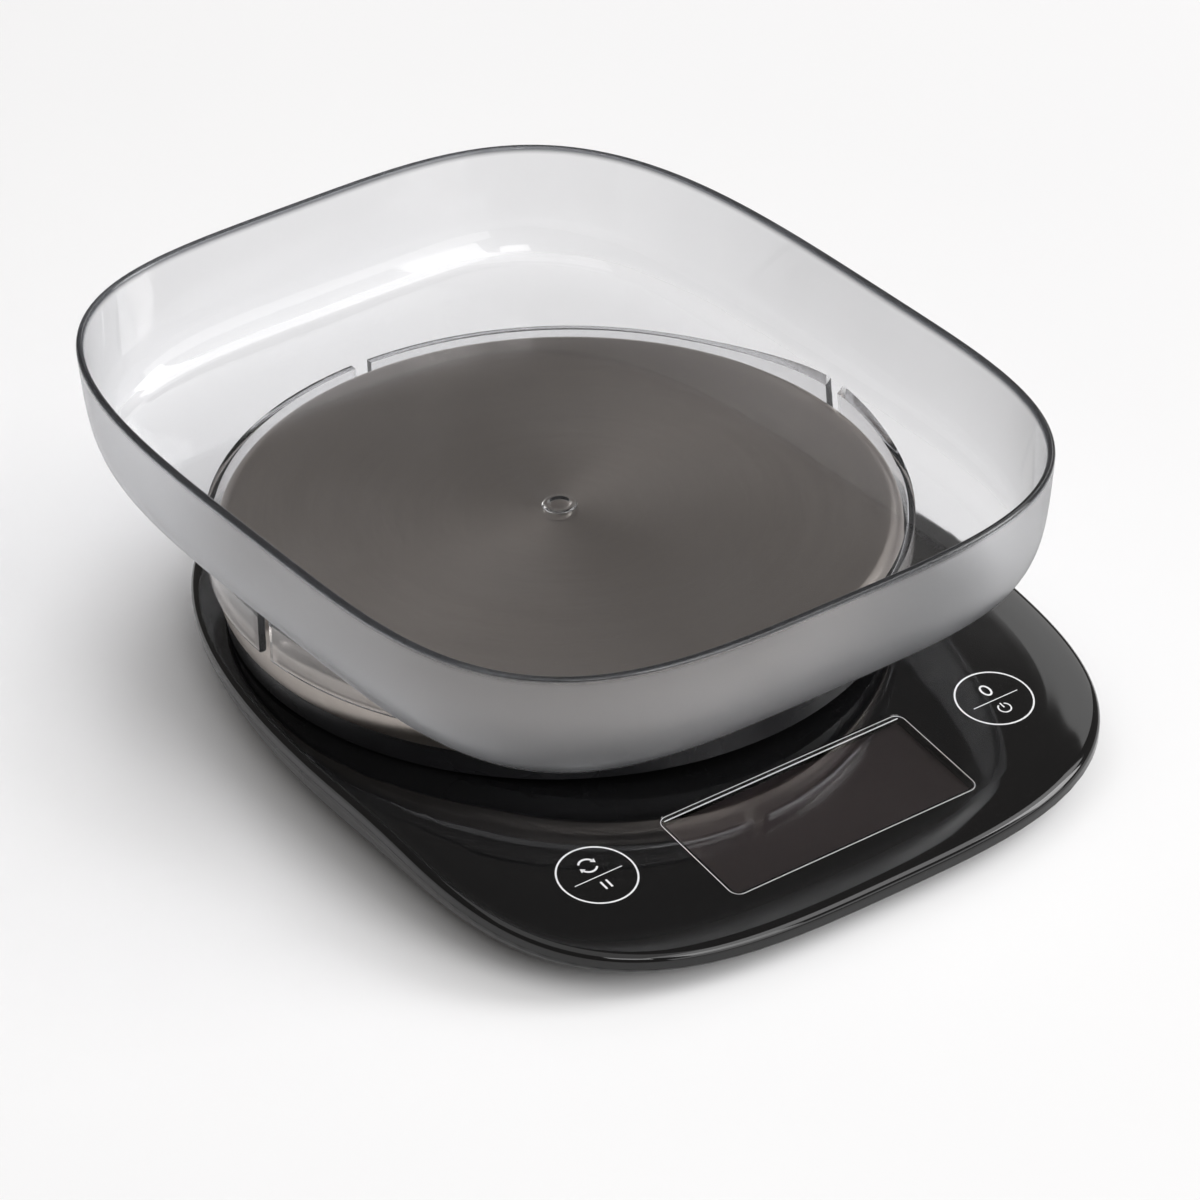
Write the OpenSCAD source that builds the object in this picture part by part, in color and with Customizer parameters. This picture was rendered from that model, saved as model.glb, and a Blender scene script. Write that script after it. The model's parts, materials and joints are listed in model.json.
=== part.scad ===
/* [Stance] */
// How far the weighing axis sits behind the middle of the object
axis_y = 7.5; // [5:0.1:10]
// Height of the base's underside above the table
under_z = 1.6; // [1:0.1:3]
// Thickness of the bottom cover's floor
floor_t = 2.0; // [1.5:0.1:3]

/* [Base outline] */
// Half width of the base at its widest
base_half_w = 89; // [80:0.5:96]
// Where the base is widest, measured from the weighing axis
base_mid_y = -50; // [-60:1:-40]
// Length of the base in front of its widest line
base_front = 78.5; // [70:0.5:86]
// Length of the base behind its widest line
base_rear = 140; // [130:1:146]
// How square the front corners are
front_n = 3.2; // [2.4:0.1:4]
// How square the rear end is
rear_n = 2.6; // [2:0.1:3.4]

/* [Base top] */
// Height of the level deck round the platform
deck_z = 22; // [20:0.5:25]
// Fall of the control strip, per mm towards the front
strip_fall = 0.14; // [0.05:0.01:0.2]
// Where the deck starts to turn down
turn_back = -36; // [-45:1:-30]
// Where the strip becomes straight
turn_front = -64; // [-70:1:-56]
// Depth of the top cover's rim, down to the parting line
rim_depth = 4.2; // [3:0.1:5]
// Wall of the two covers
wall = 2.4; // [1.8:0.1:3]

/* [Display] */
// Distance of the window's middle in front of the weighing axis
window_y = -99.6; // [-104:0.1:-92]
// Width of the window
window_w = 70; // [60:0.5:76]
// Height of the window along the strip
window_h = 29.8; // [24:0.1:34]
// Corner radius of the window
window_r = 2.4; // [1:0.1:4]
// Depth of the lens face below the strip
lens_sink = 0.3; // [0.1:0.05:0.6]
// Width of the ledge that the lens rests on
ledge = 1.1; // [0.8:0.1:2.6]
// Thickness of the lens
lens_t = 1.2; // [0.8:0.1:2]
// Sideways distance of each touch key from the middle
key_x = 57.4; // [50:0.1:62]
// Distance of the keys behind the window's middle
key_y = 7.2; // [0:0.1:12]

/* [Platform] */
// Radius of the steel plate at its lower edge
plate_r = 81.7; // [76:0.1:84]
// Radius of the flat top of the steel plate
plate_flat_r = 78.0; // [72:0.1:80]
// Height of the plate's flat top
plate_top = 43.2; // [38:0.1:48]
// Height of the plate's lower edge
plate_low = 29.3; // [26:0.1:34]
// Thickness of the steel
plate_t = 0.8; // [0.5:0.1:1.2]
// Height of the carrier's skirt above the table
skirt_low = 22.6; // [22.3:0.1:26]

/* [Bowl] */
// Half width of the bowl's rim
bowl_half_w = 90.5; // [84:0.5:96]
// Where the bowl is widest, measured from the weighing axis
bowl_mid_y = -15; // [-25:1:0]
// Length of the rim in front of its widest line
bowl_front = 94.7; // [85:0.1:105]
// Length of the rim behind its widest line
bowl_rear = 128.5; // [115:0.1:135]
// How square the bowl's front corners are
bowl_front_n = 3.44; // [2.6:0.01:4.4]
// How square the bowl's rear corners are
bowl_rear_n = 3.68; // [2.6:0.01:4.4]
// Height of the rim
rim_z = 76; // [66:0.5:90]
// Wall of the bowl
bowl_t = 2.2; // [1.6:0.1:3]
// Gap between the bowl's floor and the steel plate
seat_gap = 0.1; // [0.05:0.05:0.3]
// Inner radius of the locating ring under the bowl
ring_r = 82.1; // [81.9:0.1:84]
// Thickness of the locating ring
ring_t = 1.9; // [1.2:0.1:3]
// Height of the locating ring's lower edge
ring_low = 36.4; // [33:0.1:40]
// Width of the four gaps in the ring
ring_gap = 4.6; // [2:0.1:8]

/* [Load cell] */
// Length of the aluminium beam
cell_l = 60; // [50:1:80]
// Width of the beam
cell_w = 12; // [10:0.5:16]
// Thickness of the beam
cell_t = 9; // [7:0.5:10]
// Height of the beam's underside
cell_z = 6.8; // [6:0.1:8]
// Distance of the inner screws from the beam's middle
screw_in = 19.5; // [16:0.5:22]
// Distance of the outer screws from the beam's middle
screw_out = 26.5; // [24:0.5:28]

/* [Batteries] */
// Radius of one cell
aaa_r = 5.25; // [5:0.05:7]
// Length of one cell without its tip
aaa_l = 43.5; // [40:0.5:50]
// Depth of the door's pivot behind the weighing axis
pivot_y = 44.2; // [40:0.1:48]
// Radius of the door's pivot pins
pin_r = 0.8; // [0.6:0.05:1.2]

/* [Feet and screws] */
// Radius of a rubber foot
foot_r = 6.6; // [5:0.1:8]
// Sideways distance of the front feet
foot_front_x = 48; // [46:0.5:52]
// Distance of the front feet in front of the weighing axis
foot_front_y = -105; // [-106:0.5:-104]
// Sideways distance of the rear feet
foot_rear_x = 50; // [40:1:56]
// Distance of the rear feet behind the weighing axis
foot_rear_y = 46; // [35:1:55]
// Radius of a case screw's thread
screw_r = 1.5; // [1.2:0.1:2]

/* [Hidden] */
$fn = 72;
base_n = 96;
bowl_n = 96;
inside_z = under_z + floor_t;
strip_tilt = atan(strip_fall);
turn_mid = (turn_back + turn_front) / 2;
seat_z = plate_top + seat_gap;
tray_z = plate_top - plate_t - 0.6;
bay_x = 26.4;
bay_front = 23.1;
bay_back = 45.5;
bay_top = 14.7;
bay_wall = 1.6;
aaa_z = under_z + 1.6 + 0.45 + aaa_r;
aaa_y = [bay_front + 0.25 + aaa_r, bay_back - 0.55 - aaa_r];
glass_top = wall + 0.1;
glass_t = 2.2;
light_t = 1.6;
board_top = glass_top + glass_t + light_t + 0.1;
board_t = 1.2;
frame_w = 1.3;
post_z = 8.6;
feet = [[-foot_front_x, foot_front_y], [foot_front_x, foot_front_y],
        [-foot_rear_x, foot_rear_y], [foot_rear_x, foot_rear_y]];
board_fix = [[-38.6, -13.6], [38.6, -13.6], [-46, 15.2], [46, 15.2]];
hub_x = -23;
aaa_tip = 1;
tip_x = bay_x - 1.35;
cell_base_x = tip_x - aaa_tip - aaa_l;
wire_z = inside_z + 0.8;
plug_y = -80.1;
plug_z = 9.3;
tab_z = aaa_z + 1.2;

// ---- outlines ----

// a closed curve that is rounder at one end than at the other
function squircle(t, half, front, rear, nf, nr) =
    let (c = abs(cos(t)), s = abs(sin(t)), b = sin(t) < 0 ? front : rear, n = sin(t) < 0 ? nf : nr)
    1 / pow(pow(c / half, n) + pow(s / b, n), 1 / n);

function base_pt(t, d) =
    let (r = squircle(t, base_half_w - d, base_front - d, base_rear - d, front_n, rear_n))
    [r * cos(t), base_mid_y + r * sin(t)];

function bowl_pt(t, d) =
    let (k = 1 + 0.15 * min(1, d / 10))
    let (r = squircle(t, bowl_half_w - d, bowl_front - d, bowl_rear - d, bowl_front_n * k, bowl_rear_n * k))
    [r * cos(t), bowl_mid_y + r * sin(t)];

// height of the base's top at a distance from the weighing axis
function top_z(y) =
    y >= turn_back ? deck_z :
    y <= turn_front ? deck_z - strip_fall * (turn_mid - y) :
    deck_z - strip_fall * pow(turn_back - y, 2) / (2 * (turn_back - turn_front));

function step(i, n) = -90 + 360 * i / n;

// a ring that follows the base's top, moved in by d and up by dz
function top_ring(d, dz) =
    [for (i = [0:base_n - 1]) let (p = base_pt(step(i, base_n), d)) [p.x, p.y, top_z(p.y) + dz]];

// a ring part of the way from a level floor to the parting line
function shell_ring(d, low, f, dz) =
    [for (i = [0:base_n - 1])
        let (p = base_pt(step(i, base_n), d), high = top_z(p.y) - rim_depth + dz)
        [p.x, p.y, low + (high - low) * f]];

function bowl_ring(d, z) =
    [for (i = [0:bowl_n - 1]) let (p = bowl_pt(step(i, bowl_n), d)) [p.x, p.y, z]];

// ---- general shapes ----

module at_axis() {
    translate([0, axis_y, 0]) children();
}

// a solid through a stack of rings, closed below and above
module loft(rings) {
    n = len(rings[0]);
    m = len(rings);
    h = n / 2;
    pts = [for (r = rings) for (p = r) p];
    sides = [for (k = [0:m - 2]) for (i = [0:n - 1])
        let (a = k * n + i, b = k * n + (i + 1) % n, c = b + n, d = a + n)
        each [[a, d, c], [a, c, b]]];
    low = [for (i = [1:h - 2]) [i, i + 1, n - i - 1, n - i]];
    up = (m - 1) * n;
    high = [for (i = [1:h - 2]) [up + i, up + n - i, up + n - i - 1, up + i + 1]];
    ends = [[0, 1, n - 1], [h, h + 1, h - 1], [up, up + n - 1, up + 1], [up + h, up + h - 1, up + h + 1]];
    polyhedron(points = pts, faces = concat(sides, low, high, ends), convexity = 6);
}

module rounded_plate(w, h, r) {
    square([w - 2 * r, h], center = true);
    square([w, h - 2 * r], center = true);
    for (x = [-1, 1], y = [-1, 1])
        translate([x * (w / 2 - r), y * (h / 2 - r)]) circle(r);
}

// places its children on the strip, with z measured up from the strip's face
module strip_space() {
    translate([0, window_y, top_z(window_y)])
        rotate([strip_tilt, 0, 0])
            children();
}

module tube(r_out, r_in, h) {
    difference() {
        cylinder(r = r_out, h = h);
        translate([0, 0, -1]) cylinder(r = r_in, h = h + 2);
    }
}

// straight runs of wire with a slight bead at each bend
module wire(path, r) {
    for (i = [0:len(path) - 2]) {
        v = path[i + 1] - path[i];
        translate(path[i])
            rotate([0, acos(v.z / norm(v)), atan2(v.y, v.x)])
                cylinder(r = r, h = norm(v));
    }
    for (p = path) translate(p) sphere(1.12 * r);
}

function unit(v) = v / norm(v);

// a wire that bends in the plane x = 0 only, along a list of [y, z]
module flat_wire(line, r) {
    sides = 8;
    n = len(line);
    pts = [for (i = [0:n - 1])
        let (a = unit(line[min(i + 1, n - 1)] - line[min(i, n - 2)]))
        let (b = unit(line[max(i, 1)] - line[max(i - 1, 0)]))
        let (t = unit(a + b), k = r / (t * a))
        for (j = [0:sides - 1]) let (c = 360 * j / sides)
        [r * cos(c), line[i].x - k * t.y * sin(c), line[i].y + k * t.x * sin(c)]];
    walls = [for (i = [0:n - 2]) for (j = [0:sides - 1])
        let (p = i * sides + j, q = i * sides + (j + 1) % sides)
        each [[p, q, q + sides], [p, q + sides, p + sides]]];
    first = [for (j = [0:sides - 1]) sides - 1 - j];
    last = [for (j = [0:sides - 1]) (n - 1) * sides + j];
    polyhedron(points = pts, faces = concat(walls, [first, last]), convexity = 6);
}

// a coil of round wire, wider at its foot than at its tip
module coil(r0, r1, wire_r, turns, h) {
    per = 14;
    seg = 6;
    n = per * turns;
    pts = [for (i = [0:n]) let (a = 360 * i / per, r = r0 + (r1 - r0) * i / n, z = h * i / n)
        for (j = [0:seg - 1]) let (b = 360 * j / seg)
        [(r + wire_r * cos(b)) * cos(a), (r + wire_r * cos(b)) * sin(a), z + wire_r * sin(b)]];
    sides = [for (i = [0:n - 1]) for (j = [0:seg - 1])
        let (a = i * seg + j, b = i * seg + (j + 1) % seg)
        each [[a, b, b + seg], [a, b + seg, a + seg]]];
    first = [for (j = [0:seg - 1]) seg - 1 - j];
    last = [for (j = [0:seg - 1]) n * seg + j];
    polyhedron(points = pts, faces = concat(sides, [first, last]), convexity = 8);
}

// ---- bowl ----

// distance in from the rim and height, from the rim down to the flat floor
bowl_line = [[0.9, rim_z], [0.25, rim_z - 0.3], [0, rim_z - 0.9], [0.5, rim_z - 6],
             [1.2, rim_z - 12.5], [2.2, rim_z - 18.5], [3.4, rim_z - 22.6], [5, rim_z - 26],
             [7.2, seat_z + 3.7], [10, seat_z + 1.8], [13.5, seat_z + 0.7], [17.5, seat_z + 0.15],
             [21, seat_z]];

function inward(line, i, t) =
    let (v = line[min(i + 1, len(line) - 1)] - line[max(i - 1, 0)])
    line[i] + t * [-v.y, v.x] / norm(v);

module bowl() color([0.45, 0.47, 0.5, 0.4]) at_axis() {
    m = len(bowl_line);
    outer = [for (i = [0:m - 1]) bowl_ring(bowl_line[m - 1 - i].x, bowl_line[m - 1 - i].y)];
    inner_line = [for (i = [2:m - 1]) inward(bowl_line, i, bowl_t)];
    k = len(inner_line);
    floor_ring = bowl_ring(bowl_line[m - 1].x, seat_z + bowl_t);
    cavity = concat([floor_ring],
        [for (i = [1:k - 2]) let (p = inner_line[k - 1 - i]) bowl_ring(p.x, p.y)],
        [bowl_ring(2.25, rim_z - 0.9), bowl_ring(1.6, rim_z - 0.25), bowl_ring(1.4, rim_z + 1)]);
    half_gap = asin(ring_gap / 2 / ring_r);
    difference() {
        union() {
            loft(outer);
            for (a = [0:90:270])
                rotate([0, 0, a + half_gap])
                    rotate_extrude(angle = 90 - 2 * half_gap)
                        translate([ring_r, ring_low])
                            square([ring_t, seat_z - ring_low + 6]);
        }
        loft(cavity);
    }
    translate([0, 0, seat_z + bowl_t - 0.1]) tube(3.6, 2.2, 0.5);
}

// ---- platform ----

// outline of the steel plate in section, moved in by t
function plate_line(t) = concat(
    [[plate_r - t, plate_low], [plate_r - 0.35 - t, plate_top - 5]],
    [for (a = [0:15:90]) [plate_flat_r + (3.3 - t) * cos(a), plate_top - 3.3 + (3.3 - t) * sin(a)]]);

module platform_plate() color([0.75, 0.74, 0.72]) at_axis() {
    rotate_extrude($fn = 120)
        difference() {
            polygon(concat([[0, plate_low]], plate_line(0), [[0, plate_top]]));
            polygon(concat([[-1, plate_low - 1], [plate_r - plate_t, plate_low - 1]], plate_line(plate_t),
                           [[-1, plate_top - plate_t]]));
        }
}

module platform_tape() color([0.85, 0.84, 0.8]) at_axis() {
    for (r = [26, 52, 72])
        translate([0, 0, tray_z]) tube(r + 4, r, plate_top - plate_t - tray_z);
}

module platform_carrier() color([0.06, 0.06, 0.065]) at_axis() {
    hub_low = cell_z + cell_t + 1.5;
    difference() {
        union() {
            translate([0, 0, tray_z - 2.2]) cylinder(r = 76.8, h = 2.2);
            translate([0, 0, tray_z - 6]) tube(80.4, 74.5, 3.8);
            translate([0, 0, skirt_low]) tube(80.4, 78.2, tray_z - 4 - skirt_low);
            translate([hub_x - 12, -9, hub_low]) cube([24, 18, tray_z - 2 - hub_low]);
            for (a = [0:30:330]) if (a != 180)
                rotate([0, 0, a]) translate([20, -0.8, tray_z - 9]) cube([56, 1.6, 8]);
            translate([hub_x, -0.8, tray_z - 9]) cube([50, 1.6, 8]);
        }
        translate([hub_x - 9.6, -6.6, hub_low + 3]) cube([19.2, 13.2, 40]);
        for (x = [screw_in, screw_out])
            translate([-x, 0, hub_low - 1]) cylinder(r = screw_r + 0.15, h = 6);
    }
}

module hub_screws() color([0.7, 0.7, 0.72]) at_axis() {
    for (x = [screw_in, screw_out])
        translate([-x, 0, cell_z + 2]) {
            cylinder(r = screw_r, h = cell_t - 2 + 4.5);
            difference() {
                translate([0, 0, cell_t - 2 + 4.5]) cylinder(r = 2.7, h = 2);
                translate([0, 0, cell_t - 2 + 5.5]) cylinder(r = 1.3, h = 2, $fn = 6);
            }
        }
}

module load_spacer() color([0.8, 0.8, 0.82]) at_axis() {
    difference() {
        translate([-cell_l / 2, -cell_w / 2, cell_z + cell_t]) cube([14, cell_w, 1.5]);
        for (x = [screw_in, screw_out])
            translate([-x, 0, cell_z + cell_t - 1]) cylinder(r = screw_r + 0.15, h = 4);
    }
}

// ---- load cell ----

module load_cell() color([0.8, 0.81, 0.83]) at_axis() {
    translate([0, 0, cell_z])
        difference() {
            translate([-cell_l / 2, -cell_w / 2, 0]) cube([cell_l, cell_w, cell_t]);
            for (x = [-5, 5])
                translate([x, -cell_w, cell_t / 2]) rotate([-90, 0, 0]) cylinder(r = 3.4, h = 2 * cell_w);
            translate([-5, -cell_w, cell_t / 2 - 1.2]) cube([10, 2 * cell_w, 2.4]);
            for (x = [screw_in, screw_out]) {
                translate([-x, 0, 1.5]) cylinder(r = screw_r + 0.02, h = cell_t);
                translate([x, 0, -1]) cylinder(r = screw_r + 0.02, h = cell_t - 0.5);
            }
        }
}

module gauge_potting() color([0.93, 0.93, 0.9]) at_axis() {
    translate([-9, -4.5, cell_z + cell_t]) cube([18, 9, 1.1]);
}

module cell_wires() color([0.75, 0.2, 0.18]) at_axis() {
    z = cell_z + cell_t + 1.8;
    line = [[3, z], [-6, z], [-8.2, z - 1], [-9.5, z - 3.2], [-10.2, wire_z + 4], [-11.6, wire_z + 1.2],
            [-14.5, wire_z], [-68, wire_z], [-72, wire_z + 0.6], [plug_y, plug_z]];
    for (i = [0:3])
        translate([-3.3 + 2.2 * i, 0, 0]) flat_wire(line, 0.5);
}

module mount_screws() color([0.7, 0.7, 0.72]) at_axis() {
    for (x = [screw_in, screw_out])
        translate([x, 0, under_z + 0.4]) {
            cylinder(r = 2.7, h = 2.1);
            translate([0, 0, 2]) cylinder(r = screw_r, h = 9);
        }
}

// ---- covers ----

module top_cover() color([0.02, 0.02, 0.022]) at_axis() {
    outside = [top_ring(0, -rim_depth), top_ring(0, -2.6), top_ring(0.3, -1.75), top_ring(0.95, -1.15),
               top_ring(1.9, -0.82), top_ring(4.5, -0.42), top_ring(8, -0.12), top_ring(11.5, 0)];
    inside = [top_ring(wall, -rim_depth - 1), top_ring(wall, -3.9), top_ring(wall + 0.8, -3.3),
              top_ring(wall + 3, -2.85), top_ring(12, -wall)];
    boss_r = 3.6;
    difference() {
        union() {
            difference() {
                loft(outside);
                loft(inside);
            }
            for (p = feet)
                translate([p.x, p.y, post_z + 0.05]) cylinder(r = boss_r, h = top_z(p.y) - post_z - 1.2);
            strip_space()
                for (p = board_fix)
                    translate([p.x, p.y, -board_top]) cylinder(r = 2.3, h = board_top - 1);
        }
        for (p = feet)
            translate([p.x, p.y, post_z - 1]) cylinder(r = screw_r + 0.02, h = top_z(p.y) - post_z - 2.2);
        strip_space() {
            for (p = board_fix)
                translate([p.x, p.y, -board_top - 1]) cylinder(r = 1.02, h = board_top - 0.6);
            translate([0, 0, -lens_sink - lens_t])
                linear_extrude(5) rounded_plate(window_w + 0.2, window_h + 0.2, window_r + 0.1);
            translate([0, 0, -8]) linear_extrude(16) rounded_plate(window_w - 2 * ledge, window_h - 2 * ledge, 1.2);
        }
        translate([hub_x - 16, -13, deck_z - 8]) cube([32, 26, 16]);
    }
}

module foot_hole(p) {
    translate([p.x, p.y, under_z - 1]) cylinder(r = foot_r + 0.2, h = 1.9);
    translate([p.x, p.y, under_z]) cylinder(r = 3.0, h = 3.4);
    translate([p.x, p.y, under_z]) cylinder(r = screw_r + 0.2, h = 12);
}

module bottom_cover() color([0.035, 0.035, 0.038]) at_axis() {
    flare = [[13, 0], [11, 0.05], [8.4, 0.15], [5.6, 0.3], [3.2, 0.5], [1.4, 0.72], [0.3, 0.9], [0, 1]];
    outside = [for (p = flare) shell_ring(p.x, under_z, p.y, -0.12)];
    cavity = concat([for (p = flare) if (p.y < 0.95) shell_ring(p.x + wall, inside_z, p.y, 0)],
        [shell_ring(wall, inside_z, 1, 0), shell_ring(wall, inside_z, 1, 3)]);
    difference() {
        union() {
            difference() {
                loft(outside);
                loft(cavity);
            }
            for (p = feet)
                translate([p.x, p.y, inside_z - 0.5]) cylinder(r = 4.8, h = post_z - inside_z + 0.5);
            translate([screw_in - 6, -8, inside_z - 0.5]) cube([19, 16, cell_z - inside_z + 0.5]);
            translate([-bay_x - bay_wall, bay_front - bay_wall, inside_z - 0.5])
                cube([2 * (bay_x + bay_wall), bay_back - bay_front + 2 * bay_wall, bay_top + bay_wall - inside_z + 0.5]);
        }
        for (p = feet) foot_hole(p);
        for (x = [screw_in, screw_out])
            translate([x, 0, under_z - 1]) {
                cylinder(r = 3.0, h = 3.5);
                cylinder(r = screw_r + 0.2, h = 12);
            }
        translate([-bay_x, bay_front, under_z - 1]) cube([2 * bay_x, bay_back - bay_front, bay_top - under_z + 1]);
        translate([-bay_x - 1.2, pivot_y, under_z + 1])
            rotate([0, 90, 0]) cylinder(r = pin_r + 0.08, h = 2 * bay_x + 2.4);
        for (x = [-1, 1])
            translate([x * (bay_x + 0.8) - 0.8, pivot_y - pin_r - 0.08, under_z - 1])
                cube([1.6, 2 * pin_r + 0.16, 2]);
        translate([-7, bay_front - 3.2, under_z - 1]) cube([14, 4, 1.9]);
        for (i = [0, 1])
            translate([-bay_x - bay_wall - 1, aaa_y[i] - 1.3, tab_z - 0.3])
                cube([bay_wall + 2, 2.6, 1.1]);
    }
}

// ---- display and board ----

module display_lens() color([0.1, 0.1, 0.11, 0.8]) at_axis() strip_space() {
    translate([0, 0, -lens_sink - lens_t])
        linear_extrude(lens_t) rounded_plate(window_w, window_h, window_r);
}

module lcd_panel() color([0.35, 0.36, 0.33]) at_axis() strip_space() {
    translate([-34, -13.9, -glass_top - glass_t]) cube([68, 27.8, glass_t]);
}

module lcd_frame() color([0.9, 0.9, 0.9]) at_axis() strip_space() {
    h = board_top - glass_top;
    translate([0, 0, -board_top])
        difference() {
            translate([-34.1 - frame_w, -14 - frame_w, 0]) cube([68.2 + 2 * frame_w, 28 + 2 * frame_w, h]);
            translate([-34.1, -14, -1]) cube([68.2, 28, h + 2]);
        }
}

module lcd_backlight() color([0.97, 0.97, 0.97]) at_axis() strip_space() {
    translate([-33, -10.6, -board_top + 0.1]) cube([66, 23.6, light_t]);
}

module zebra_strip() color([0.9, 0.6, 0.65]) at_axis() strip_space() {
    translate([-31, -13.6, -board_top]) cube([62, 2.0, light_t + 0.1]);
}

module circuit_board() color([0.05, 0.3, 0.12]) at_axis() strip_space() {
    difference() {
        union() {
            translate([-66, 0.1, -board_top - board_t]) cube([132, 18.4, board_t]);
            translate([-41.4, -17.5, -board_top - board_t]) cube([82.8, 20, board_t]);
        }
        for (p = board_fix)
            translate([p.x, p.y, -board_top - 3]) cylinder(r = 1.2, h = 6);
    }
}

module chip_blob() color([0.04, 0.04, 0.04]) at_axis() strip_space() {
    translate([8, 4, -board_top - board_t])
        rotate([180, 0, 0])
            rotate_extrude()
                polygon([[0, 0], [5.5, 0], [5.0, 0.5], [3.8, 0.9], [2.0, 1.15], [0, 1.2]]);
}

module board_parts() color([0.12, 0.12, 0.12]) at_axis() strip_space() {
    low = -board_top - board_t;
    translate([-14, 1, low - 1.4]) cube([7, 5, 1.4]);
    translate([20, 2, low - 1.1]) cube([4, 4, 1.1]);
    for (x = [-26, -30, 28, 32]) translate([x, 8, low - 0.7]) cube([1.6, 0.9, 0.7]);
    translate([34, -4, low - 2.6]) cylinder(r = 2.5, h = 2.6);
    for (c = [[-4.5, 9], [-12, 6]]) translate([c.x, 15.2, low - 1.6]) cube([c.y, 2.6, 1.6]);
}

module board_screws() color([0.7, 0.7, 0.72]) at_axis() strip_space() {
    for (p = board_fix)
        translate([p.x, p.y, -board_top - board_t - 1.1]) {
            cylinder(r = 2, h = 1.1);
            cylinder(r = 1, h = 1.1 + board_t + board_top - 2.2);
        }
}

module touch_pads() color([0.2, 0.2, 0.21]) at_axis() strip_space() {
    for (x = [-key_x, key_x])
        translate([x, key_y, -board_top]) cylinder(r = 6.5, h = board_top - wall);
}

// ---- feet and screws ----

module case_screws() color([0.7, 0.7, 0.72]) at_axis() {
    for (p = feet)
        translate([p.x, p.y, under_z + 1.3]) {
            cylinder(r = 2.6, h = 2.1);
            translate([0, 0, 1]) cylinder(r = screw_r, h = top_z(p.y) - under_z - 6);
        }
}

module rubber_feet() color([0.1, 0.1, 0.1]) at_axis() {
    for (p = feet)
        translate([p.x, p.y, 0])
            rotate_extrude()
                polygon([[0, 0], [foot_r - 1.1, 0], [foot_r - 0.4, 0.25], [foot_r, 0.8],
                         [foot_r, under_z + 0.85], [0, under_z + 0.85]]);
}

// ---- batteries ----

module battery_cells() color([0.75, 0.6, 0.2]) at_axis() {
    for (i = [0, 1])
        translate([i == 0 ? cell_base_x : -cell_base_x, aaa_y[i], aaa_z])
            rotate([0, i == 0 ? 90 : -90, 0]) {
                cylinder(r = aaa_r, h = aaa_l);
                cylinder(r = 1.9, h = aaa_l + aaa_tip);
            }
}

module battery_springs() color([0.8, 0.8, 0.8]) at_axis() {
    for (i = [0, 1])
        translate([(i == 0 ? -1 : 1) * (bay_x - 0.95), aaa_y[i], aaa_z])
            rotate([0, i == 0 ? 90 : -90, 0])
                coil(3.6, 2.2, 0.35, 4, bay_x - 0.95 + cell_base_x - 0.4);
}

module contact_plates() color([0.82, 0.8, 0.75]) at_axis() {
    for (i = [0, 1], s = [-1, 1])
        translate([s * (bay_x - 0.3) - 0.25, aaa_y[i] - 4.2, aaa_z - 4.4])
            cube([0.5, 8.4, 8.8]);
    translate([bay_x - 0.55, aaa_y[0] + 4, aaa_z - 1.5])
        cube([0.5, aaa_y[1] - aaa_y[0] - 8, 3]);
    for (i = [0, 1])
        translate([i == 0 ? bay_x - 1.3 : 0.5 - bay_x, aaa_y[i] - 1.2, aaa_z - 1.2])
            cube([0.8, 2.4, 2.4]);
    for (i = [0, 1])
        translate([-bay_x - bay_wall - 1.6, aaa_y[i] - 1, tab_z])
            cube([bay_wall + 1.8, 2, 0.5]);
}

module battery_door() color([0.035, 0.035, 0.038]) at_axis() {
    difference() {
        union() {
            translate([-bay_x + 0.3, bay_front + 0.3, under_z])
                cube([2 * bay_x - 0.6, pivot_y + 0.6 - bay_front - 0.3, 1.6]);
            translate([-bay_x - 1, pivot_y, under_z + 1])
                rotate([0, 90, 0]) cylinder(r = pin_r, h = 2 * bay_x + 2);
        }
        for (x = [-6.5, 5.7])
            translate([x, bay_front - 1, under_z - 1]) cube([0.8, 9, 4]);
        for (y = [30:2:38])
            translate([-6, y, under_z - 1]) cube([12, 0.8, 1.4]);
    }
}

// from a contact's tab round the load cell to the board
module battery_wire(y0, side, plug_x) {
    start = -bay_x - bay_wall - 2.3;
    wire([[start, y0, tab_z], [side, y0 - 8, wire_z], [side, -12, wire_z], [plug_x, -72, wire_z],
          [plug_x, plug_y, plug_z]], 0.55);
}

module battery_wire_red() color([0.75, 0.05, 0.05]) at_axis() {
    battery_wire(aaa_y[1], -37.5, -10.4);
}

module battery_wire_black() color([0.03, 0.03, 0.03]) at_axis() {
    battery_wire(aaa_y[0], -35, -7.6);
}

bowl();
platform_plate();
platform_tape();
platform_carrier();
hub_screws();
load_spacer();
load_cell();
gauge_potting();
cell_wires();
mount_screws();
top_cover();
bottom_cover();
display_lens();
lcd_panel();
lcd_frame();
lcd_backlight();
zebra_strip();
circuit_board();
chip_blob();
board_parts();
board_screws();
touch_pads();
case_screws();
rubber_feet();
battery_cells();
battery_springs();
contact_plates();
battery_door();
battery_wire_red();
battery_wire_black();
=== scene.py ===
import json
import math

import bmesh
import bpy
import numpy as np
from mathutils import Matrix, Vector


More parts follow.
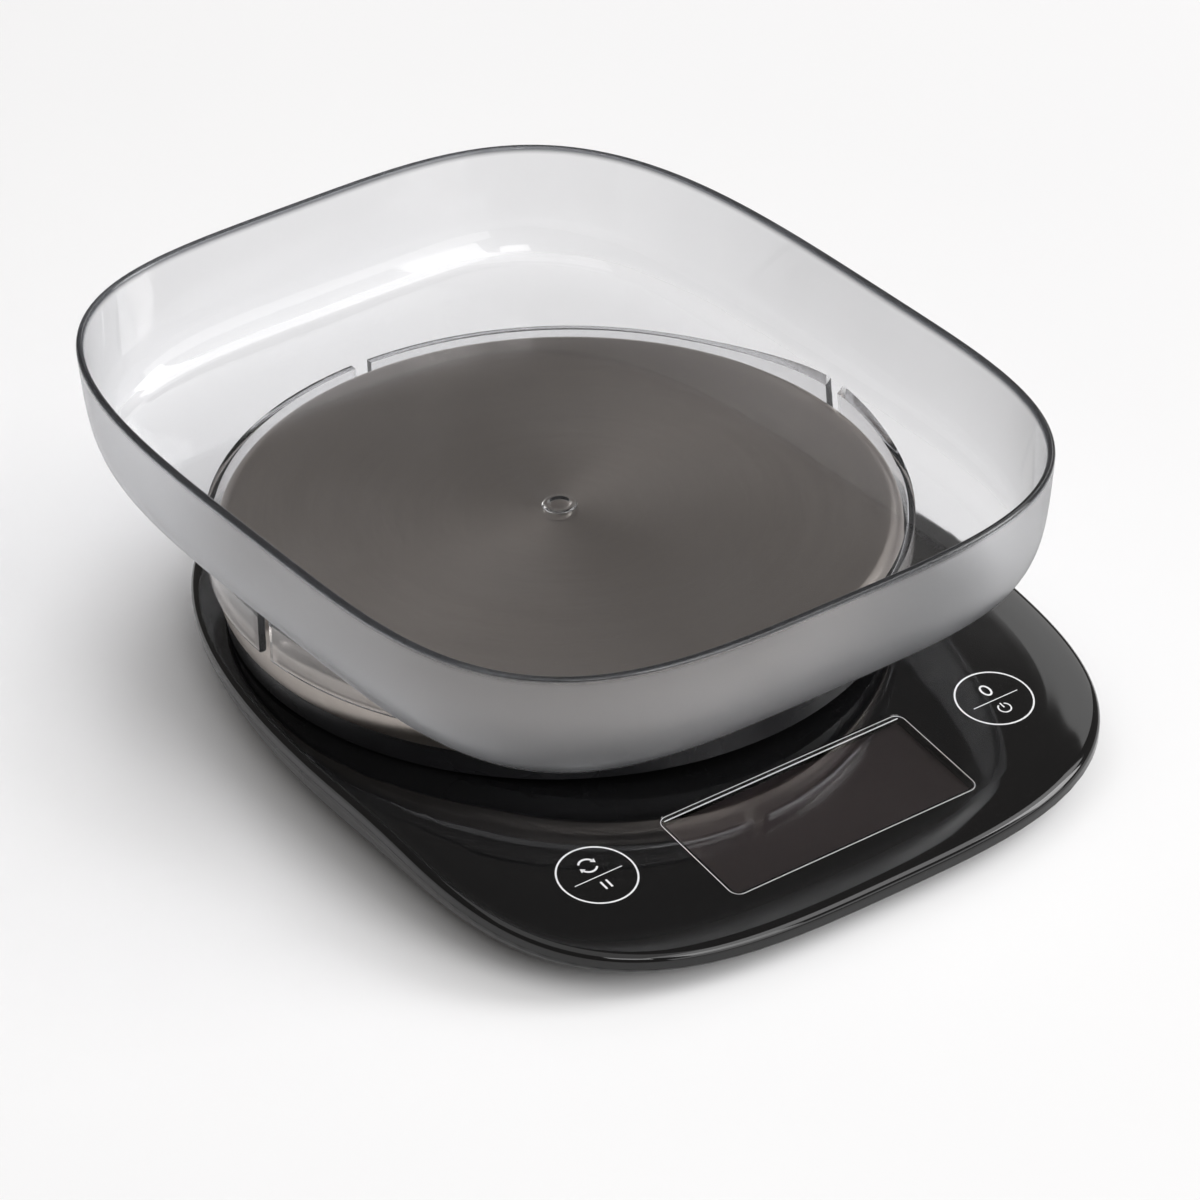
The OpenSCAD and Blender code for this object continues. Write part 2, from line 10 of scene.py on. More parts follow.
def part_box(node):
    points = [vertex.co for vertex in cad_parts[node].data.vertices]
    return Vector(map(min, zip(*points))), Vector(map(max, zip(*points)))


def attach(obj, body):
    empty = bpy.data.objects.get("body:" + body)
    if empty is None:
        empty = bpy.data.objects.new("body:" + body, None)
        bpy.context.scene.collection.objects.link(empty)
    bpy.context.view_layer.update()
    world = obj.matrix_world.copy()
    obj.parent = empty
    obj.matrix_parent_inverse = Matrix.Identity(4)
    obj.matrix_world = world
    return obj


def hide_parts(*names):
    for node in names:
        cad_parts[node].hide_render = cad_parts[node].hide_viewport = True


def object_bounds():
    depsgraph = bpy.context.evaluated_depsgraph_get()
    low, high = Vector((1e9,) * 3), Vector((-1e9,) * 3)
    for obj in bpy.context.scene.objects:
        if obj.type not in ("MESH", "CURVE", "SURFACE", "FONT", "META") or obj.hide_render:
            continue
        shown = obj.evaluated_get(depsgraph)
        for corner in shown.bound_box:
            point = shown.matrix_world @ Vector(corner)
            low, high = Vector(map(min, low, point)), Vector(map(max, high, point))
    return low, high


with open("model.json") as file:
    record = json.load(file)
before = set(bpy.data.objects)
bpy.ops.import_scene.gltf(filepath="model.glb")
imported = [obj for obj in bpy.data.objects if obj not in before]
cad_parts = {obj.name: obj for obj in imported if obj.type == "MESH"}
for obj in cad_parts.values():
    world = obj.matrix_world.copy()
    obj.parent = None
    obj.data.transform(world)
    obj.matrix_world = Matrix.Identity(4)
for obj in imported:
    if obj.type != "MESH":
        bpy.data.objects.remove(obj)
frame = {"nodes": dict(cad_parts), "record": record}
cad_lo, cad_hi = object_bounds()
scene = bpy.context.scene

# Shapes are in millimetres here, and become metres when a mesh is made. Materials, lights and the camera
# are in metres.
MM = 0.001

# The weighing axis and the platform, from the steel plate's own box.
plate_lo, plate_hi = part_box("platform_plate")
AX_Y = (plate_lo[1] + plate_hi[1]) / 2 / MM
PLATE_TOP = plate_hi[2] / MM
PLATE_LOW = plate_lo[2] / MM
PLATE_R = (plate_hi[0] - plate_lo[0]) / 2 / MM


# ---------------------------------------------------------------- outlines
# Both outlines are two half superellipses that meet at their widest line. For each: half the width, the
# reach to the front and to the rear of that line, the exponents of the front and the rear half, and where
# the line lies behind the weighing axis.
BASE_HALF, BASE_FRONT, BASE_REAR, BASE_FRONT_N, BASE_REAR_N, BASE_Y = 89, 78.5, 140, 3.2, 2.6, -50
BOWL_HALF, BOWL_FRONT, BOWL_REAR, BOWL_FRONT_N, BOWL_REAR_N, BOWL_Y = 90.5, 94.7, 128.5, 3.44, 3.68, -15
# Further in than the bowl's rim its corners get squarer, by this share over this distance.
BOWL_SQUARER, BOWL_BLEND = 0.15, 10


def squircle(t, half, front, rear, front_n, rear_n):
    """Distance from the middle of the widest line to the outline, in the direction t."""
    c, s = abs(math.cos(t)), abs(math.sin(t))
    reach, n = (front, front_n) if math.sin(t) < 0 else (rear, rear_n)
    return 1 / ((c / half) ** n + (s / reach) ** n) ** (1 / n)


def base_pt(t, d):
    """Point of the base's outline set in by d, from the weighing axis."""
    r = squircle(t, BASE_HALF - d, BASE_FRONT - d, BASE_REAR - d, BASE_FRONT_N, BASE_REAR_N)
    return r * math.cos(t), BASE_Y + r * math.sin(t)


def bowl_pt(t, d):
    """Point of the bowl's outline set in by d, from the weighing axis."""
    k = 1 + BOWL_SQUARER * min(1, d / BOWL_BLEND)
    r = squircle(t, BOWL_HALF - d, BOWL_FRONT - d, BOWL_REAR - d, BOWL_FRONT_N * k, BOWL_REAR_N * k)
    return r * math.cos(t), BOWL_Y + r * math.sin(t)


def turn_angles(steps):
    """Directions once round, from the front."""
    return [math.radians(-90 + 360 * i / steps) for i in range(steps)]


# The deck is level up to TURN_BACK, bends over to TURN_FRONT and then falls by FALL per millimetre.
DECK_Z, FALL, TURN_BACK, TURN_FRONT = 22.0, 0.14, -36.0, -64.0
TILT = math.atan(FALL)


def top_z(y):
    """Height of the deck at y from the weighing axis."""
    if y >= TURN_BACK:
        return DECK_Z
    if y <= TURN_FRONT:
        return DECK_Z - FALL * ((TURN_BACK + TURN_FRONT) / 2 - y)
    return DECK_Z - FALL * (TURN_BACK - y) ** 2 / (2 * (TURN_BACK - TURN_FRONT))


def smooth_line(points, per):
    """A line through the given points that doesn't overshoot, with per steps between each two of them."""
    p = np.array(points, float)
    along = np.r_[0, np.cumsum(np.linalg.norm(np.diff(p, axis=0), axis=1))]
    slope = np.diff(p, axis=0) / np.diff(along)[:, None]
    tangent = np.zeros_like(p)
    tangent[0], tangent[-1] = slope[0], slope[-1]
    for i in range(1, len(p) - 1):
        before, after = along[i] - along[i - 1], along[i + 1] - along[i]
        w0, w1 = 2 * after + before, after + 2 * before
        for k in range(2):
            a, b = slope[i - 1, k], slope[i, k]
            tangent[i, k] = 0 if a * b <= 0 else (w0 + w1) / (w0 / a + w1 / b)
    out = []
    for i in range(len(p) - 1):
        h = along[i + 1] - along[i]
        for j in range(per):
            t = j / per
            a, b = 2 * t**3 - 3 * t**2 + 1, t**3 - 2 * t**2 + t
            c, e = -2 * t**3 + 3 * t**2, t**3 - t**2
            out.append(a * p[i] + b * h * tangent[i] + c * p[i + 1] + e * h * tangent[i + 1])
    out.append(p[-1])
    return [tuple(q) for q in out]


# ---------------------------------------------------------------- mesh tools
def new_object(name, verts, faces):
    me = bpy.data.meshes.new(name)
    me.from_pydata([(x * MM, y * MM, z * MM) for x, y, z in verts], [], faces)
    me.validate()
    ob = bpy.data.objects.new(name, me)
    scene.collection.objects.link(ob)
    return ob


def loft(name, rings):
    """A closed skin through rings of equal length, each a list of (x, y, z)."""
    n = len(rings[0])
    verts = [p for r in rings for p in r]
    faces = []
    for k in range(len(rings) - 1):
        for i in range(n):
            a, b = k * n + i, k * n + (i + 1) % n
            faces.append((a, b, b + n, a + n))
    low, high, last = len(verts), len(verts) + 1, (len(rings) - 1) * n
    verts += [tuple(np.mean(rings[0], axis=0)), tuple(np.mean(rings[-1], axis=0))]
    faces += [(low, (i + 1) % n, i) for i in range(n)]
    faces += [(high, last + i, last + (i + 1) % n) for i in range(n)]
    return new_object(name, verts, faces)


def revolve(name, line, steps, x0, y0, closed=True, start=0.0, sweep=360.0):
    """Turns a line of (radius, z) about the upright axis at x0, y0. A closed line makes a ring or an arc
    of one."""
    full = sweep == 360
    stops = steps if full else steps + 1
    verts, faces = [], []
    m = len(line)
    for i in range(stops):
        a = math.radians(start + sweep * i / steps)
        for r, z in line:
            verts.append((x0 + r * math.cos(a), y0 + r * math.sin(a), z))
    for i in range(steps):
        i2 = (i + 1) % stops
        for j in range(m if closed else m - 1):
            j2 = (j + 1) % m
            faces.append((i * m + j, i2 * m + j, i2 * m + j2, i * m + j2))
    if not full:
        faces.append(tuple(range(m - 1, -1, -1)))
        faces.append(tuple((stops - 1) * m + j for j in range(m)))
    return tidy(new_object(name, verts, faces))


# Points closer than this are one, and edges shorter than this are none, in metres.
SAME_POINT, NO_EDGE = 1e-7, 1e-8


def tidy(ob):
    bm = bmesh.new()
    bm.from_mesh(ob.data)
    bmesh.ops.remove_doubles(bm, verts=bm.verts, dist=SAME_POINT)
    bmesh.ops.dissolve_degenerate(bm, edges=bm.edges, dist=NO_EDGE)
    bmesh.ops.recalc_face_normals(bm, faces=bm.faces)
    bm.to_mesh(ob.data)
    bm.free()
    return ob


def smooth(ob, angle):
    """Shades round across all edges but those sharper than the angle."""
    me = ob.data
    me.polygons.foreach_set("use_smooth", [True] * len(me.polygons))
    me.set_sharp_from_angle(angle=math.radians(angle))
    me.update()
    return ob


def delete(ob):
    me = ob.data
    bpy.data.objects.remove(ob)
    bpy.data.meshes.remove(me)


def apply_modifiers(ob):
    bpy.context.view_layer.update()
    done = bpy.data.meshes.new_from_object(ob.evaluated_get(bpy.context.evaluated_depsgraph_get()))
    ob.modifiers.clear()
    old = ob.data
    ob.data = done
    done.name = old.name
    bpy.data.meshes.remove(old)
    return ob


def weigh_normals(ob):
    """Large flat faces keep their own direction, so that only the bevels between them are shaded round."""
    m = ob.modifiers.new("w", "WEIGHTED_NORMAL")
    m.mode, m.keep_sharp, m.weight = "FACE_AREA", True, 80
    return apply_modifiers(ob)


def boolean(ob, tools, operation):
    """Cuts the tools from an object or joins them to it, and deletes them."""
    for t in tools:
        m = ob.modifiers.new("b", "BOOLEAN")
        m.operation, m.solver, m.object = operation, "EXACT", t
    apply_modifiers(ob)
    for t in tools:
        delete(t)
    return ob


CORNER_STEPS = 12


def rounded(w, h, r):
    """A rounded rectangle about the origin, w wide along x and h along y."""
    pts = []
    corners = ((w / 2 - r, h / 2 - r), (r - w / 2, h / 2 - r), (r - w / 2, r - h / 2), (w / 2 - r, r - h / 2))
    for k, (cx, cy) in enumerate(corners):
        for i in range(CORNER_STEPS + 1):
            a = math.radians(90 * k + 90 * i / CORNER_STEPS)
            pts.append((cx + r * math.cos(a), cy + r * math.sin(a)))
    return pts


# What sits on the control strip is made flat about the window's middle, and then moved and tilted there.
WINDOW_Y = -99.6
TO_STRIP = Matrix.Translation((0, (AX_Y + WINDOW_Y) * MM, top_z(WINDOW_Y) * MM))
ON_STRIP = TO_STRIP @ Matrix.Rotation(TILT, 4, "X")


def on_strip(ob):
    ob.data.transform(ON_STRIP)
    return ob


# ---------------------------------------------------------------- material tools
class Nodes:
    """Small helper that builds a node material."""

    def __init__(self, name):
        self.material = bpy.data.materials.new(name)
        self.material.use_nodes = True
        self.tree = self.material.node_tree
        self.tree.nodes.clear()
        self.out = self.tree.nodes.new("ShaderNodeOutputMaterial")
        self.coord = self.tree.nodes.new("ShaderNodeTexCoord")

    def add(self, kind, **values):
        n = self.tree.nodes.new(kind)
        for k, v in values.items():
            setattr(n, k, v)
        return n

    def link(self, a, b):
        self.tree.links.new(a, b)

    def math(self, op, a, b=None):
        n = self.add("ShaderNodeMath", operation=op)
        for i, v in enumerate((a, b)):
            if v is None:
                continue
            if isinstance(v, (int, float)):
                n.inputs[i].default_value = v
            else:
                self.link(v, n.inputs[i])
        return n.outputs[0]

    def noise(self, scale, detail=3.0, rough=0.5, vector=None):
        n = self.add("ShaderNodeTexNoise")
        n.inputs["Scale"].default_value = scale
        n.inputs["Detail"].default_value = detail
        n.inputs["Roughness"].default_value = rough
        self.link(vector if vector is not None else self.coord.outputs["Object"], n.inputs["Vector"])
        return n.outputs["Fac"]

    def ramp(self, fac, *stops):
        n = self.add("ShaderNodeValToRGB")
        e = n.color_ramp.elements
        while len(e) < len(stops):
            e.new(0.5)
        for el, (p, c) in zip(e, stops):
            el.position = p
            el.color = (c, c, c, 1) if isinstance(c, (int, float)) else (*c, 1)
        self.link(fac, n.inputs["Fac"])
        return n.outputs["Color"]

    def bump(self, height, strength, distance):
        n = self.add("ShaderNodeBump")
        n.inputs["Strength"].default_value = strength
        n.inputs["Distance"].default_value = distance
        self.link(height, n.inputs["Height"])
        return n.outputs["Normal"]

    def principled(self, **values):
        p = self.add("ShaderNodeBsdfPrincipled")
        for k, v in values.items():
            s = p.inputs[k.replace("_", " ")]
            if isinstance(v, bpy.types.NodeSocket):
                self.link(v, s)
            elif isinstance(v, tuple) and len(v) == 3:
                s.default_value = (*v, 1)
            else:
                s.default_value = v
        return p

    def done(self, shader):
        self.link(shader.outputs[0] if hasattr(shader, "outputs") else shader, self.out.inputs["Surface"])
        return self.material


# ---------------------------------------------------------------- materials
def plastic(name, color, rough, grain=900.0, depth=0.00002, spread=0.06, vary=0.12, spec=0.5):
    """Moulded plastic: slight mottling, uneven gloss and a fine spark-eroded grain."""
    n = Nodes(name)
    blot = n.noise(60.0, 4.0, 0.6)
    lo, hi = tuple(c * (1 - vary) for c in color), tuple(c * (1 + vary) for c in color)
    colour = n.ramp(blot, (0.3, lo), (0.7, hi))
    uneven = n.ramp(n.noise(25.0, 3.0, 0.5), (0.3, rough - spread), (0.7, rough + spread))
    p = n.principled(Base_Color=colour, Roughness=uneven, Specular_IOR_Level=spec,
                     Normal=n.bump(n.noise(grain, 2.0, 0.6), 0.25, depth))
    return n.done(p)


def metal(name, color, rough, stretch=(1.0, 1.0, 1.0), scale=700.0):
    """Plated or milled metal: a fine grain, which stretch draws out along x, in colour, gloss and bump."""
    n = Nodes(name)
    mapping = n.add("ShaderNodeMapping")
    mapping.inputs["Scale"].default_value = stretch
    n.link(n.coord.outputs["Object"], mapping.inputs["Vector"])
    g = n.noise(scale, 3.0, 0.6, mapping.outputs["Vector"])
    colour = n.ramp(g, (0.3, tuple(c * 0.9 for c in color)), (0.7, tuple(min(1, c * 1.06) for c in color)))
    uneven = n.ramp(n.noise(80.0, 3.0, 0.6), (0.3, rough - 0.06), (0.7, rough + 0.06))
    p = n.principled(Base_Color=colour, Metallic=1.0, Roughness=uneven, Normal=n.bump(g, 0.3, 0.00001))
    return n.done(p)


def gloss_black():
    """Polished black plastic: faint swirls of wiping and a little dust change the gloss only slightly."""
    n = Nodes("gloss_black")
    wipe = n.noise(18.0, 5.0, 0.6)
    dust = n.ramp(n.noise(2600.0, 1.0, 0.5), (0.74, 0.0), (0.80, 1.0))
    colour = n.ramp(dust, (0.0, (0.0045, 0.0045, 0.0047)), (1.0, (0.03, 0.03, 0.03)))
    uneven = n.math("ADD", n.ramp(wipe, (0.35, 0.035), (0.7, 0.075)), n.math("MULTIPLY", dust, 0.12))
    p = n.principled(Base_Color=colour, Roughness=uneven, Specular_IOR_Level=0.5, IOR=1.5,
                     Normal=n.bump(n.noise(9.0, 2.0, 0.5), 0.05, 0.0004))
    return n.done(p)


# How far the rings' noise moves on round the circle, in metres.
DRIFT = 0.0016


def steel():
    """Stainless plate turned under a brush: fine rings round the weighing axis, which stretch what they
    reflect into a fan."""
    n = Nodes("turned_steel")
    sep = n.add("ShaderNodeSeparateXYZ")
    n.link(n.coord.outputs["Object"], sep.inputs[0])
    x = sep.outputs[0]
    y = n.math("SUBTRACT", sep.outputs[1], AX_Y * MM)
    r = n.math("SQRT", n.math("ADD", n.math("MULTIPLY", x, x), n.math("MULTIPLY", y, y)))
    ang = n.math("ARCTAN2", y, x)
    # Rings: noise along the radius that hardly changes round the circle.
    v = n.add("ShaderNodeCombineXYZ")
    n.link(r, v.inputs[0])
    n.link(n.math("MULTIPLY", n.math("SINE", ang), DRIFT), v.inputs[1])
    n.link(n.math("MULTIPLY", n.math("COSINE", ang), DRIFT), v.inputs[2])
    fine = n.noise(5200.0, 4.0, 0.75, v.outputs[0])
    wide = n.noise(600.0, 2.0, 0.5, v.outputs[0])
    rings = n.math("ADD", n.math("MULTIPLY", fine, 0.75), n.math("MULTIPLY", wide, 0.25))
    colour = n.ramp(rings, (0.25, (0.368, 0.332, 0.303)), (0.75, (0.455, 0.414, 0.381)))
    uneven = n.ramp(rings, (0.25, 0.27), (0.75, 0.37))
    tan = n.add("ShaderNodeCombineXYZ")
    n.link(n.math("MULTIPLY", y, -1.0), tan.inputs[0])
    n.link(x, tan.inputs[1])
    unit = n.add("ShaderNodeVectorMath", operation="NORMALIZE")
    n.link(tan.outputs[0], unit.inputs[0])
    p = n.principled(Base_Color=colour, Metallic=1.0, Roughness=uneven, Anisotropic=0.62,
                     Normal=n.bump(fine, 0.12, 0.000006))
    n.link(unit.outputs[0], p.inputs["Tangent"])
    return n.done(p)


def smoky_clear():
    """Clear smoky moulding, coloured through its thickness: polished inside and underneath, satin on the
    outer wall, with painted shade on the rim where it is seen along its length."""
    n = Nodes("smoky_clear")
    satin = n.add("ShaderNodeAttribute", attribute_name="satin").outputs["Fac"]
    flow = n.noise(22.0, 3.0, 0.55)
    colour = n.ramp(flow, (0.3, (0.985, 0.986, 0.990)), (0.7, (0.995, 0.996, 0.998)))
    polish = n.ramp(n.noise(40.0, 4.0, 0.6), (0.35, 0.035), (0.7, 0.07))
    frost = n.ramp(n.noise(60.0, 3.0, 0.6), (0.35, 0.36), (0.7, 0.40))
    # Painted shade: towards the rim's top the colour turns dark, for the light lost along the length of the
    # smoky wall.
    edge = n.add("ShaderNodeAttribute", attribute_name="edge").outputs["Fac"]
    rim_shaded_colour = n.add("ShaderNodeMix", data_type="RGBA")
    n.link(edge, rim_shaded_colour.inputs[0])
    n.link(colour, rim_shaded_colour.inputs[6])
    rim_shaded_colour.inputs[7].default_value = (0.085, 0.09, 0.10, 1)
    gloss = n.add("ShaderNodeMix", data_type="FLOAT")
    n.link(satin, gloss.inputs[0])
    n.link(polish, gloss.inputs[2])
    n.link(frost, gloss.inputs[3])
    clear = n.principled(Base_Color=rim_shaded_colour.outputs[2], Roughness=gloss.outputs[0], IOR=1.49,
                         Transmission_Weight=1.0, Normal=n.bump(n.noise(14.0, 2.0, 0.5), 0.02, 0.0002))
    haze = n.add("ShaderNodeBsdfDiffuse")
    haze.inputs["Color"].default_value = (0.62, 0.63, 0.65, 1)
    film = n.ramp(n.noise(30.0, 3.0, 0.6), (0.3, 0.006), (0.7, 0.014))
    mix = n.add("ShaderNodeMixShader")
    n.link(n.math("ADD", n.math("MULTIPLY", satin, 0.06), film), mix.inputs[0])
    n.link(clear.outputs[0], mix.inputs[1])
    n.link(haze.outputs[0], mix.inputs[2])
    # A lamp's shadow ray can't follow the refraction, so it goes straight through the wall and lights what
    # is under it.
    through = n.add("ShaderNodeBsdfTransparent")
    through.inputs["Color"].default_value = (0.93, 0.932, 0.938, 1)
    lamps = n.add("ShaderNodeMixShader")
    n.link(n.add("ShaderNodeLightPath").outputs["Is Shadow Ray"], lamps.inputs[0])
    n.link(mix.outputs[0], lamps.inputs[1])
    n.link(through.outputs[0], lamps.inputs[2])
    tint = n.add("ShaderNodeVolumeAbsorption")
    tint.inputs["Color"].default_value = (0.10, 0.11, 0.16, 1)
    tint.inputs["Density"].default_value = 56.0
    n.link(tint.outputs[0], n.out.inputs["Volume"])
    return n.done(lamps)


def lens_clear():
    """Tinted clear plastic over the display, with slightly uneven polish."""
    n = Nodes("display_clear")
    colour = n.ramp(n.noise(50.0, 3.0, 0.5), (0.3, (0.62, 0.60, 0.60)), (0.7, (0.66, 0.64, 0.64)))
    uneven = n.ramp(n.noise(30.0, 4.0, 0.6), (0.35, 0.01), (0.7, 0.04))
    return n.done(n.principled(Base_Color=colour, Roughness=uneven, IOR=1.49, Transmission_Weight=1.0))


def lcd_face():
    """Liquid crystal glass at rest: a flat warm grey with the faint weave of its polariser."""
    n = Nodes("lcd_face")
    mapping = n.add("ShaderNodeMapping")
    mapping.inputs["Rotation"].default_value = (0, 0, math.radians(45))
    mapping.inputs["Scale"].default_value = (1.0, 14.0, 1.0)
    n.link(n.coord.outputs["Object"], mapping.inputs["Vector"])
    weave = n.noise(500.0, 2.0, 0.5, mapping.outputs["Vector"])
    colour = n.ramp(weave, (0.3, (0.064, 0.053, 0.053)), (0.7, (0.084, 0.070, 0.070)))
    return n.done(n.principled(Base_Color=colour, Roughness=0.35, Specular_IOR_Level=0.4))


def board():
    """Circuit board: solder mask with copper tracks showing through."""
    n = Nodes("solder_mask")
    b = n.add("ShaderNodeTexBrick")
    b.offset, b.squash = 0.5, 1.0
    b.inputs["Scale"].default_value = 180.0
    b.inputs["Mortar Size"].default_value = 0.035
    b.inputs["Color1"].default_value = (0.012, 0.105, 0.035, 1)
    b.inputs["Color2"].default_value = (0.015, 0.120, 0.040, 1)
    b.inputs["Mortar"].default_value = (0.035, 0.220, 0.080, 1)
    n.link(n.coord.outputs["Object"], b.inputs["Vector"])
    tracks = n.bump(b.outputs["Fac"], 0.3, 0.00003)
    return n.done(n.principled(Base_Color=b.outputs["Color"], Roughness=0.32, Normal=tracks))


def cell_wrap():
    """Printed film of an AAA cell: a blue body with a gold-coloured part at each end."""
    n = Nodes("cell_wrap")
    sep = n.add("ShaderNodeSeparateXYZ")
    n.link(n.coord.outputs["Object"], sep.inputs[0])
    along = n.math("ABSOLUTE", sep.outputs[0])
    band = n.ramp(n.math("MULTIPLY", along, 40.0), (0.0, (0.06, 0.16, 0.36)), (0.62, (0.05, 0.13, 0.32)),
                  (0.64, (0.62, 0.50, 0.24)), (0.9, (0.66, 0.54, 0.27)))
    uneven = n.ramp(n.noise(90.0, 3.0, 0.5), (0.3, 0.22), (0.7, 0.34))
    return n.done(n.principled(Base_Color=band, Roughness=uneven, Metallic=0.35))


def ink():
    """White printing ink with the faint unevenness of a screen print."""
    n = Nodes("white_ink")
    g = n.noise(2500.0, 2.0, 0.6)
    colour = n.ramp(g, (0.3, (0.70, 0.70, 0.71)), (0.7, (0.80, 0.80, 0.81)))
    return n.done(n.principled(Base_Color=colour, Roughness=0.35))


BLACK = (0.010, 0.010, 0.011)
# One material for each slot of the record, and two more for thin pieces that the record has no slot for.
# The numbers of plastic() are roughness, grain, bump depth, unevenness of gloss and of colour, and specular.
finishes = {
    "smoky_clear": smoky_clear(),
    "stainless": steel(),
    "tape": plastic("tape_paper", (0.72, 0.70, 0.62), 0.8, 1800.0, 0.00004),
    "black_satin": plastic("satin_black", BLACK, 0.26, 1500.0, 0.00003, 0.05, 0.2, 0.32),
    "black_gloss": gloss_black(),
    "screw_steel": metal("plated_screw", (0.62, 0.62, 0.64), 0.28),
    "zinc": metal("zinc_plate", (0.64, 0.64, 0.66), 0.32),
    "load_cell_aluminium": metal("milled_aluminium", (0.78, 0.79, 0.81), 0.30, (1.0, 12.0, 12.0), 500.0),
    "white_silicone": plastic("silicone", (0.80, 0.80, 0.76), 0.55, 300.0, 0.0002),
    "wire_white": plastic("wire_white", (0.70, 0.68, 0.63), 0.42),
    "wire_red": plastic("wire_red", (0.48, 0.02, 0.02), 0.40),
    "wire_black": plastic("wire_black", (0.015, 0.015, 0.015), 0.40),
    "display_clear": lens_clear(),
    "lcd_glass": lcd_face(),
    "white_plastic": plastic("white_plastic", (0.80, 0.80, 0.79), 0.45),
    "contact_rubber": plastic("contact_rubber", (0.62, 0.34, 0.37), 0.6, 2500.0, 0.00004),
    "board_green": board(),
    "black_epoxy": plastic("black_epoxy", (0.014, 0.014, 0.014), 0.25, 500.0, 0.00005),
    "foam_pad": plastic("foam_pad", (0.04, 0.04, 0.045), 0.9, 2200.0, 0.0001),
    "foot_rubber": plastic("foot_rubber", (0.022, 0.022, 0.023), 0.75, 2400.0, 0.00005, 0.08, 0.25),
    "cell_wrap": cell_wrap(),
    "contact_nickel": metal("nickel_plate", (0.72, 0.69, 0.63), 0.22),
    "ink": ink(),
    # Pale plastic for the painted highlight round the display window.
    "lens_edge_highlight": plastic("lens_edge_highlight", (0.68, 0.68, 0.69), 0.35, 1500.0, 0.00001, 0.04, 0.05),
}


def smooth_by_angle(degrees):
    """A modifier's node group that shades round all but the edges sharper than this."""
    g = bpy.data.node_groups.new("smooth_by_angle", "GeometryNodeTree")
    g.interface.new_socket("Geometry", in_out="INPUT", socket_type="NodeSocketGeometry")
    g.interface.new_socket("Geometry", in_out="OUTPUT", socket_type="NodeSocketGeometry")
    start, end = g.nodes.new("NodeGroupInput"), g.nodes.new("NodeGroupOutput")
    faces, edges = g.nodes.new("GeometryNodeSetShadeSmooth"), g.nodes.new("GeometryNodeSetShadeSmooth")
    faces.domain, edges.domain = "FACE", "EDGE"
    faces.inputs["Shade Smooth"].default_value, edges.inputs["Shade Smooth"].default_value = True, False
    angle = g.nodes.new("GeometryNodeInputMeshEdgeAngle")
    test = g.nodes.new("FunctionNodeCompare")
    test.data_type, test.operation = "FLOAT", "GREATER_THAN"
    test.inputs[1].default_value = math.radians(degrees)
    g.links.new(angle.outputs["Unsigned Angle"], test.inputs[0])
    g.links.new(start.outputs[0], faces.inputs["Geometry"])
    g.links.new(faces.outputs[0], edges.inputs["Geometry"])
    g.links.new(test.outputs[0], edges.inputs["Selection"])
    g.links.new(edges.outputs[0], end.inputs[0])
    return g


# The CAD nodes that stay get their slot's material and round shading.
rounding = smooth_by_angle(24)
for sub in frame["record"]["subparts"]:
    ob = frame["nodes"][sub["node"]]
    ob.data.materials.clear()
    ob.data.materials.append(finishes[sub["material_slot"]])
    ob.modifiers.new("round", "NODES").node_group = rounding


def piece(ob, mat, body, *nodes):
    """Gives an object its material and the body it rides on, and hides the CAD nodes it stands for."""
    ob.data.materials.clear()
    ob.data.materials.append(finishes[mat])
    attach(ob, body)
    if nodes:
        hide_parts(*nodes)
    return ob


# ---------------------------------------------------------------- bowl
SEAT, WALL, RIM = PLATE_TOP + 0.1, 2.2, cad_hi[2] / MM
# Outer face of the wall from the rim down to the floor: how far in from the outline, and height.
FLOOR_D = 21
BOWL_LINE = [(0, RIM - 0.9), (0.5, RIM - 6), (1.2, RIM - 12.5), (2.2, RIM - 18.5), (3.4, RIM - 22.6),
             (5, RIM - 26), (7.2, SEAT + 3.7), (10, SEAT + 1.8), (13.5, SEAT + 0.7), (17.5, SEAT + 0.15),
             (FLOOR_D, SEAT)]
# Further rings of the floor, as distances in from the outline.
FLOOR_RINGS = (24, 30, 40, 52, 64, 76, 86)
BOWL_ANGLES = turn_angles(288)
RIM_STEPS, TINY = 12, 1e-6


def bowl_ring(d, z):
    return [(x, y + AX_Y, z) for x, y in (bowl_pt(t, d) for t in BOWL_ANGLES)]


def offset_line(line, by):
    """A line moved sideways by a distance, square to its own direction."""
    out = []
    for i, p in enumerate(line):
        a, b = np.array(line[max(i - 1, 0)]), np.array(line[min(i + 1, len(line) - 1)])
        t = (b - a) / np.linalg.norm(b - a)
        out.append((p[0] - by * t[1], p[1] + by * t[0]))
    return out


def rim_line(inside, outside):
    """The rim's round edge, from the inner wall's top over to the outer wall's."""
    mid_d, mid_z = (inside[0] + outside[0]) / 2, (inside[1] + outside[1]) / 2
    thick, rise = inside[0] - outside[0], RIM - mid_z
    line = []
    for i in range(1, RIM_STEPS):
        a = math.pi * i / RIM_STEPS
        line.append((mid_d - math.cos(a) * thick / 2, mid_z + rise * math.sin(a)))
    return line


outer = smooth_line(BOWL_LINE, 4)
inner = [q for q in offset_line(outer, WALL) if q[0] < FLOOR_D and q[1] > SEAT + WALL - TINY]
inner.append((FLOOR_D, SEAT + WALL))
floor_in = [(d, SEAT + WALL) for d in FLOOR_RINGS]
floor_out = [(d, SEAT) for d in FLOOR_RINGS[::-1]]
section = floor_out + outer[::-1] + rim_line(inner[0], outer[0]) + inner + floor_in
bowl = tidy(loft("bowl_shell", [bowl_ring(d, z) for d, z in section]))

